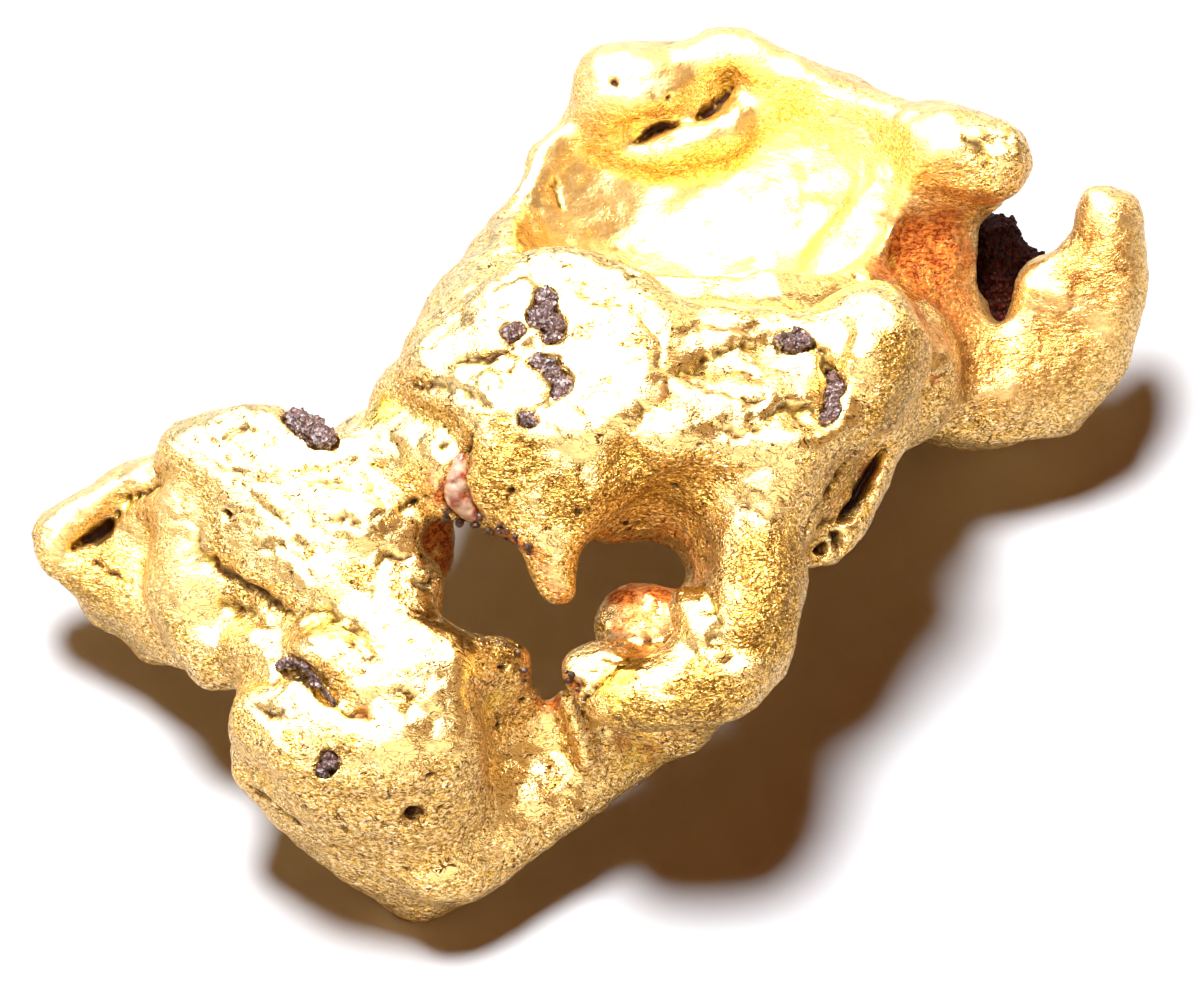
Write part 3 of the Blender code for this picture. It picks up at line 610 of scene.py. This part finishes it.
def gold_patterns(tree, place):
    """The noise in the metal: dents, blotches, waves, ripples and grains."""
    face = add(tree, "ShaderNodeMapping", {
        "Vector": place, "Rotation": (-FACE_LEAN, 0, 0), "Scale": (0.7, 1.15, 1.0),
    }).outputs["Vector"]
    # Coordinates, size in millimetres, detail, roughness, distortion. The real grain is finer
    # than this, and is drawn coarser so that it doesn't turn into flicker.
    rows = (
        (face, 0.14, 2.0, 0.8, 0.3),  # dents and scratches that sand grains of 0.1 to 0.3 mm leave
        (place, 0.5, 4.0, 0.65, 0.0),  # blotches, in which the other patterns come and go
        (face, 0.55, 3.0, 0.6, 1.2),  # waves, for winding creases about 0.4 mm apart
        (face, 0.24, 2.0, 0.6, 0.8),  # ripples, for hairlines about 0.15 mm apart
        (face, 0.085, 2.0, 0.8, 0.0),  # grains
    )
    return [
        add(tree, "ShaderNodeTexNoise", {
            "Vector": vector, "Scale": 1 / (size * MM), "Detail": detail,
            "Roughness": roughness, "Distortion": distortion,
        }).outputs["Fac"]
        for vector, size, detail, roughness, distortion in rows
    ]


def native_gold():
    """Native gold, worn by gravel.

    It gives the eye pale, bright plates with fine brown creases where the gravel has burnished
    the metal, amber grit where it hasn't, and rust where the stone has stained it. Part of the
    plates' pale is a painted highlight, the creases' brown is painted shade, the grit is painted
    with shade in its gaps and glints on its facets, and the hollows' deeper yellow is a painted
    glow of light bounced between the gold walls.
    """
    material, tree, shader, place = new_material("native gold")
    marks = {
        name: add(tree, "ShaderNodeAttribute", {}, attribute_name=name).outputs["Fac"]
        for name in ("crease", "dark", "stain", "hollow", "worn", "soft", "rough")
    }
    dents, blotches, waves, ripples, grains = gold_patterns(tree, place)

    # Creases within the blotches, and hairlines mostly between them: thin winding lines painted
    # dark, as the shade in creases too fine to model
    creases = weighted(tree, lines_across(tree, waves, 0.004, 0.022), blotches, 0.4, 0.52)
    hairlines = lines_across(tree, ripples, 0.006, 0.045)
    hairlines = weighted(tree, hairlines, blotches, 0.4, 0.55, 0.85, 0.2)
    lines = add(tree, "ShaderNodeMath", {
        0: creases, 1: hairlines,
    }, operation="MAXIMUM").outputs["Value"]
    lines = weighted(tree, lines, marks["soft"], at_low=1.0, at_high=0.0)

    # What isn't burnished is gritty. Its grain is painted with shade in dark gaps and with glints
    # on bright facets, and in rough places the painted gaps are wider.
    gritty = weighted(tree, 1.0, marks["worn"], 0.1, 0.7, 1.0, 0.0)
    gritty = weighted(tree, gritty, marks["soft"], at_low=1.0, at_high=0.45)
    grainy = weighted(tree, gritty, blotches, 0.36, 0.6, 0.65, 1.0)
    coarse = add(tree, "ShaderNodeMath", {
        0: grains, 1: weighted(tree, 0.09, marks["rough"]),
    }, operation="SUBTRACT").outputs["Value"]
    painted_grain_shade = weighted(tree, grainy, coarse, 0.38, 0.5, 0.9, 0.0)
    # Less painted shade in the hollows, for the light bounced about in them.
    painted_grain_shade = weighted(tree, painted_grain_shade, marks["hollow"], at_low=1.0, at_high=0.45)
    # Painted glints: a pale colour on the grain's bright facets.
    facets = weighted(tree, grainy, coarse, 0.53, 0.61, 0.0, 0.9)

    # The softly rubbed places are mottled with amber instead
    mottle = weighted(tree, marks["soft"], ripples, 0.4, 0.58, 1.0, 0.2)
    mottle = weighted(tree, mottle, marks["rough"], at_low=0.3, at_high=1.0)

    # Dark brown along the creases and lines: painted shade in them.
    lined = add(tree, "ShaderNodeMath", {
        0: weighted(tree, marks["crease"], blotches, 0.35, 0.6, 0.3, 1.0), 1: lines,
    }, operation="MAXIMUM").outputs["Value"]
    rust = layered(tree, linear("#7c300e"), (
        (weighted(tree, 1.0, dents, 0.4, 0.6), linear("#d07c34")),
    ))
    stained = weighted(tree, marks["stain"], blotches, 0.25, 0.45)
    # The pale base is the worn plates', partly burnish and partly a painted highlight, and the
    # grit is a darker amber. The hollows' yellow is a painted glow, the gaps, lines and dark marks
    # are painted shade, the facets are painted glints and the rust is the iron stain.
    colour = layered(tree, linear("#ffe6a4"), (
        (gritty, linear("#f4c464")),
        (marks["hollow"], linear("#ffd85c")),
        (mottle, linear("#a8681c")),
        (painted_grain_shade, linear("#583610")),
        (facets, linear("#fff2d0")),
        (lined, linear("#582f0e")),
        (stained, rust),
        (marks["dark"], linear("#3a1c12")),
    ))

    height = add(tree, "ShaderNodeMath", {
        0: dents, 1: weighted(tree, 0.15, lines),
    }, operation="SUBTRACT").outputs["Value"]
    matt = add(tree, "ShaderNodeMath", {
        0: stained, 1: weighted(tree, 0.6, marks["soft"]),
    }, operation="MAXIMUM").outputs["Value"]
    roughness = add(tree, "ShaderNodeMath", {
        0: weighted(tree, 1.0, gritty, at_low=0.16, at_high=0.3),
        1: weighted(tree, 0.35, matt),
    }, operation="ADD").outputs["Value"]
    # Where the dark marks and the stain are, the skin is not metal.
    dark_and_stained = add(tree, "ShaderNodeMath", {
        0: marks["dark"], 1: weighted(tree, 0.5, stained),
    }, operation="MAXIMUM").outputs["Value"]
    feed(tree, shader, {
        "Base Color": colour,
        "Roughness": roughness,
        "Metallic": weighted(tree, 1.0, dark_and_stained, at_low=1.0, at_high=0.0),
        "Specular IOR Level": 0.1,
        "Normal": add(tree, "ShaderNodeBump", {
            "Height": height,
            "Strength": weighted(tree, 1.0, gritty, at_low=0.2, at_high=1.0),
            "Distance": 0.12 * MM,
        }).outputs["Normal"],
    })
    return material


def ironstone(name, darkest, lightest, painted_glint, shine):
    """Ironstone, a rock of iron oxides.

    It gives the eye a dark red-brown crust, rough, with small crystal faces, a few of them painted
    pale as glints.
    """
    material, tree, shader, place = new_material(name)
    crystals = add(tree, "ShaderNodeTexVoronoi", {
        "Vector": place, "Scale": 1 / (0.08 * MM),
    }).outputs
    chance = add(tree, "ShaderNodeSeparateColor", {"Color": crystals["Color"]}).outputs
    feed(tree, shader, {
        "Base Color": layered(tree, linear(darkest), (
            (chance["Red"], linear(lightest)),
            # Painted glints: a pale colour in a few of the crystals.
            (weighted(tree, 1.0, chance["Green"], 0.82, 0.9, 0.0, 0.8), linear(painted_glint)),
        )),
        "Roughness": 0.38,
        "Specular IOR Level": shine,
        "Normal": add(tree, "ShaderNodeBump", {
            "Height": crystals["Distance"], "Strength": 1.0, "Distance": 0.04 * MM,
        }).outputs["Normal"],
    })
    return material


def stained_quartz():
    """Quartz, cloudy and stained by iron: it lets light in and turns it pinkish orange."""
    material, tree, shader, place = new_material("stained quartz")
    clouds = add(tree, "ShaderNodeTexNoise", {
        "Vector": place, "Scale": 1 / (0.35 * MM), "Detail": 4.0,
    }).outputs["Fac"]
    feed(tree, shader, {
        "Base Color": layered(tree, linear("#a8401c"), (
            (weighted(tree, 1.0, clouds, 0.35, 0.55), linear("#ecc8a8")),
        )),
        "Roughness": 0.22,
        "IOR": 1.54,
        "Transmission Weight": 0.35,
        "Normal": add(tree, "ShaderNodeBump", {
            "Height": clouds, "Strength": 0.6, "Distance": 0.05 * MM,
        }).outputs["Normal"],
    })
    return material


# --- The stones ---

# A chip grows sideways to meet the gold around it: how far, how jagged, the jags' width and
# noise shift, and the least and most of it
BED = (0.12, 1.6, 0.22, 5.0, 0.2, 1.8)
FITTED = ("fork_ironstone", "seam_ironstone")  # the chips that fill their beds as they are
# The broken faces of ironstone: how wide they are, and how far they step in and out
FACET_WIDTH = 0.2
FACET_STEP = 0.08
JOINT = (0.03, 0.03)  # depth and width of the joints between the facets
CRUMB = (0.04, 0.12)  # height and width of the roughness of the facets
QUARTZ_LUMPS = (0.04, 0.25)  # height and width


def rough_stone(node, material):
    """A chip of ironstone that fills its bed, broken into small flat faces."""
    stone = softened(copy_of(node, node), 0, STONE_VOXEL, 1)
    skin = Skin(stone)
    if node not in FITTED:
        gap, jaggedness, width, shift, least, most = BED
        jags = (1 + jaggedness * grain(skin.points, width, shift=shift)).clip(least, most)
        sideways = 1 - skin.normals[:, 2].clip(0, 1)
        skin.raise_by(gap * jags * sideways)
    borders, values = cells(skin.points, FACET_WIDTH)
    height, width = CRUMB
    relief = FACET_STEP * (values - 0.5) + height * grain(skin.points, width, 2)
    depth, width = JOINT
    skin.raise_by(relief - depth * np.exp(-((borders / width) ** 2)))
    laid_down(stone, node + "_chip", node, material)


def quartz_sliver(material):
    """The sliver of quartz in the corner of the hole, with a lumpy surface."""
    stone = softened(copy_of("quartz_sliver", "quartz"), 1, STONE_VOXEL, 2)
    skin = Skin(stone)
    height, width = QUARTZ_LUMPS
    skin.raise_by(height * grain(skin.points, width, 3))
    laid_down(stone, "quartz_crust", "quartz_sliver", material)


# Round grains of ironstone on the hole's rim: count, spread, then a path of points (a, b)
BEADS = (
    (
        30, 0.16,
        (-4.2, -0.1), (-4.0, -0.55), (-3.4, -0.6), (-2.9, -0.8), (-2.2, -1.15), (-1.9, -1.4),
    ),
    (5, 0.12, (0.5, -0.6), (0.8, -0.75)),
    (6, 0.15, (-2.9, -4.0), (-2.2, -4.3), (-2.0, -5.0)),
    (4, 0.10, (-0.9, -4.6), (-0.7, -5.1)),
)
BEAD_RADII = (0.05, 0.13)
BEAD_STRETCH = (0.7, 1.2)
BEAD_SEED = 5
SHORT_OF_END = 1.001  # keeps the last bead on the path's last stretch


def rim_beads(material):
    """The grains sit on the gold's skin, so they are placed on a copy of the frame's solid."""
    solid = copy_of("gold_nugget", "rim")
    skin = Skin(solid)
    chance = np.random.RandomState(BEAD_SEED)
    bm = bmesh.new()
    for count, spread, *path in BEADS:
        path = np.array(path)
        for part in np.linspace(0, len(path) - SHORT_OF_END, count):
            start = int(part)
            a, b = path[start] + (part - start) * (path[start + 1] - path[start])
            a, b = (a, b) + chance.uniform(-spread, spread, 2)
            radius = chance.uniform(*BEAD_RADII)
            shape = Matrix.Diagonal((*chance.uniform(*BEAD_STRETCH, 3), 1.0))
            place = Matrix.Translation(skin.at(a, b)) @ shape
            bmesh.ops.create_icosphere(bm, subdivisions=2, radius=radius, matrix=place)
    bpy.data.objects.remove(solid)
    laid_down(new_object("beads", bm), "rim_beads", None, material)


# --- The studio ---

# In metres, but for the sensor, which is in millimetres
CAMERA_DISTANCE = 0.6
VIEW_PIXELS = 1200  # the view's width
PIXELS_PER_MM = 37  # at the middle of the face
SENSOR = 36.0
NEAREST = 0.01
FLOOR_SIZE = 0.6

# Lights: name, direction, distance, size, watts and colour
KEY = ("key", (-0.14, 0.20, 1.0), 0.5, 0.15, 5.0, "#ffffff")
# Large soft cards that only the metal mirrors
CARDS = (
    ("top card", (-0.35, 0.35, 1.0), 0.5, 1.0, 12.5, "#ffffff"),
    ("front card", (0.0, -1.0, 0.4), 0.7, 1.3, 6.8, "#fff0d8"),
    ("left card", (-1.0, 0.0, 0.5), 0.7, 1.2, 3.0, "#ffe8c8"),
    ("right card", (1.0, 0.0, 0.6), 0.7, 1.4, 2.4, "#ffd8a0"),
    ("back card", (0.1, 1.0, 0.6), 0.7, 1.4, 7.0, "#ffecd0"),
)
# What fills the shadows. It stands for the light that the gold throws back into them.
FILL_COLOUR = "#ff6414"
FILL_STRENGTH = 0.085


def facing(target, direction, distance):
    """The place of a camera or a light that looks at the target from this direction."""
    turn = direction.to_track_quat("Z", "Y").to_matrix().to_4x4()
    return Matrix.Translation(target + direction * distance) @ turn


def camera():
    """Looks straight at the nugget's face."""
    lens = bpy.data.cameras.new("camera")
    lens.sensor_width = SENSOR
    lens.lens = SENSOR * CAMERA_DISTANCE / (VIEW_PIXELS / PIXELS_PER_MM * MM)
    lens.clip_start = NEAREST
    obj = bpy.data.objects.new("camera", lens)
    bpy.context.scene.collection.objects.link(obj)
    out = (FACE.to_3x3() @ Vector((0, 0, 1))).normalized()
    obj.matrix_world = facing(FACE_MIDDLE * MM, out, CAMERA_DISTANCE)
    bpy.context.scene.camera = obj


def soft_light(name, direction, distance, size, watts, colour):
    """A round area light that faces the middle of the floor."""
    lamp = bpy.data.lights.new(name, "AREA")
    lamp.shape = "DISK"
    lamp.size = size
    lamp.energy = watts
    lamp.color = linear(colour)[:3]
    obj = bpy.data.objects.new(name, lamp)
    bpy.context.scene.collection.objects.link(obj)
    obj.matrix_world = facing(Vector(), Vector(direction).normalized(), distance)
    return obj


def floor():
    """Matt card in a pale cool grey. It mirrors nothing, so the shadows on it stay warm."""
    bm = bmesh.new()
    bmesh.ops.create_grid(bm, x_segments=1, y_segments=1, size=FLOOR_SIZE)
    obj = new_object("floor", bm)
    material, tree, shader, _ = new_material("matt white card")
    feed(tree, shader, {
        "Base Color": linear("#d4d6da"), "Roughness": 0.9, "Specular IOR Level": 0.0,
    })
    obj.data.materials.append(material)


def studio():
    """The camera, the floor and the lights."""
    camera()
    floor()
    soft_light(*KEY)
    for row in CARDS:
        card = soft_light(*row)
        card.visible_diffuse = False
        card.visible_camera = False
    world = bpy.data.worlds.new("studio")
    bpy.context.scene.world = world
    world.use_nodes = True
    feed(world.node_tree, world.node_tree.nodes["Background"], {
        "Color": linear(FILL_COLOUR), "Strength": FILL_STRENGTH,
    })
    bpy.context.scene.view_settings.view_transform = "Standard"


def main():
    """The gold, the chips, the beads, the quartz and the studio."""
    gold = native_gold_skin()
    laid_down(gold, "gold_skin", "gold_nugget", native_gold())
    chips = ironstone("ironstone", "#2e1816", "#6c4642", "#bcb0b0", 0.5)
    # The chip deep in the fork's slot gets darker colours: painted shade.
    painted_shade_ironstone = ironstone("shaded ironstone", "#140504", "#3c1410", "#5a2822", 0.05)
    for node in sorted(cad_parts):
        if "ironstone" in node:
            rough_stone(node, painted_shade_ironstone if node == "fork_ironstone" else chips)
    rim_beads(ironstone("browner ironstone", "#140a06", "#5c3214", "#8c6444", 0.4))
    quartz_sliver(stained_quartz())
    studio()


main()
